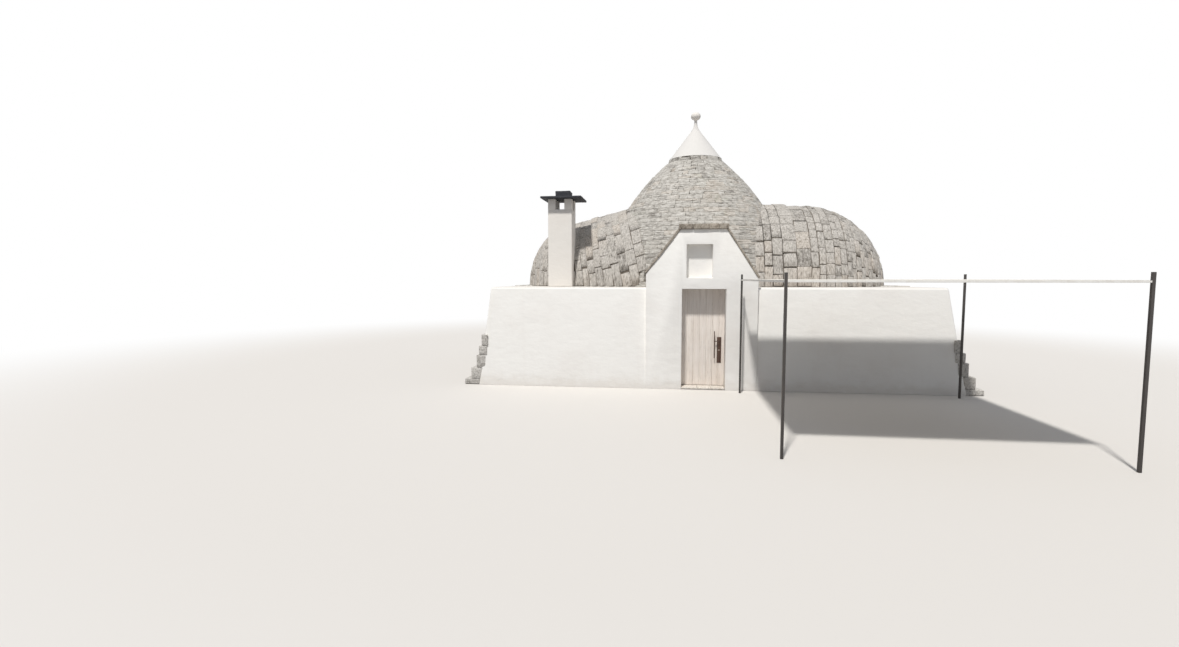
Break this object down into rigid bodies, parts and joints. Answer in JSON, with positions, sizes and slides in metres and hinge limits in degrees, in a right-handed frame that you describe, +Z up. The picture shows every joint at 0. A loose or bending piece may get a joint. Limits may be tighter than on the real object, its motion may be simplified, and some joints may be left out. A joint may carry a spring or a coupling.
{
  "type": "trullo house",
  "caption": "Dry-stone house: coned roof between two stone vaults on thick battered white walls, with a gabled doorway, a hinged plank door, a chimney and a shade frame in front.",
  "frame": {"origin": "on the ground under the tip of the cone, on the underside of the floor", "axes": "+X to the right along the facade, +Y from the facade into the house, +Z up"},
  "size_m": [10.6523, 10.9, 6.4949],
  "materials": {
    "plaster": "limewashed plaster on rubble stone",
    "stone": "rough limestone",
    "slate": "dark slate",
    "limewood": "limed boards",
    "iron": "dark bronze paint",
    "steel": "dark paint",
    "white_steel": "white paint",
    "cloth": "woven"
  },
  "bodies": {
    "house": {"floor": "stone", "threshold": "stone", "front_wall_left": "plaster", "front_wall_right": "plaster", "side_wall_left": "stone", "side_wall_right": "stone", "rear_wall_left": "stone", "rear_wall_right": "stone", "plinth_left": "stone", "plinth_right": "stone", "door_jamb_left": "plaster", "door_jamb_right": "plaster", "gable_head": "plaster", "gable_coping": "stone", "gable_roof": "stone", "vault_left": "stone", "vault_right": "stone", "cone_shell": "stone", "cone_courses": "stone", "cone_cap": "plaster", "cap_ball": "plaster", "chimney_shaft": "plaster", "chimney_merlons": "plaster", "chimney_slab": "slate", "chimney_weight": "slate", "frame_post_left": "limewood", "frame_post_right": "limewood", "frame_head": "limewood", "hinge_pintles": "iron", "post_front_left": "steel", "post_front_right": "steel", "post_rear_left": "steel", "post_rear_right": "steel", "rail_left": "white_steel", "rail_right": "white_steel", "rail_front": "white_steel", "rail_rear": "white_steel", "shade_cloth": "cloth"},
    "door": {"door_leaf": "limewood", "door_ledges": "limewood", "hinge_straps": "iron", "lock_plate": "iron", "door_pull": "iron"}
  },
  "joints": [
    {"name": "door_swing", "type": "hinge", "parent": "house", "child": "door", "pos_m": [-0.391, -2.716, 0], "axis": [0, 0, 1], "range_deg": [0, 90]}
  ]
}
